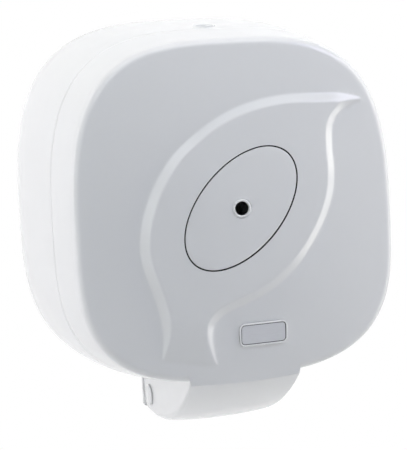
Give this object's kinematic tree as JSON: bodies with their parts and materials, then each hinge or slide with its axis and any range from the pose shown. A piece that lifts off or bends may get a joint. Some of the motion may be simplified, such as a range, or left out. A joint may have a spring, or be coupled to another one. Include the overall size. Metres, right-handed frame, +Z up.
{
  "type": "paper towel dispenser",
  "caption": "Wall-mounted centre-pull paper dispenser with a rounded square shell, a crowned cover that swings down, a raised leaf, an oval plate with a pull nozzle and a key lock.",
  "frame": {"origin": "on the wall face, in the middle of the width, at the level where the housing is widest", "axes": "+X to the right as seen from the front, +Z up, -Y out of the wall towards the user"},
  "size_m": [0.27, 0.164, 0.316],
  "materials": {
    "white_gloss": "glossy white ABS",
    "white_satin": "satin white",
    "lock_plastic": "pale plastic",
    "zinc": "zinc plated",
    "badge_silver": "satin silver foil"
  },
  "bodies": {
    "housing": {"rear_housing": "white_gloss", "roll_cradle": "white_satin", "cradle_screw_left": "zinc", "cradle_screw_right": "zinc", "hinge_pin_left": "white_gloss", "hinge_pin_right": "white_gloss", "pin_clip_left": "zinc", "pin_clip_right": "zinc", "lock_bush": "lock_plastic", "lock_nut": "zinc"},
    "cover": {"front_cover": "white_gloss", "nozzle_plate": "white_gloss", "nozzle_ring": "white_gloss", "nozzle_funnel": "white_satin", "plate_retainer": "white_satin", "retainer_screw_upper": "zinc", "retainer_screw_lower": "zinc", "badge_plate": "badge_silver"},
    "lock": {"lock_barrel": "lock_plastic", "lock_cam": "zinc", "cam_screw": "zinc"}
  },
  "joints": [
    {"name": "cover_hinge", "type": "hinge", "parent": "housing", "child": "cover", "pos_m": [0, -0.024, -0.13899], "axis": [1, 0, 0], "range_deg": [0, 90]},
    {"name": "lock_turn", "type": "hinge", "parent": "housing", "child": "lock", "pos_m": [0, -0.091, 0.13], "axis": [0, 0, 1], "range_deg": [0, 90]}
  ]
}
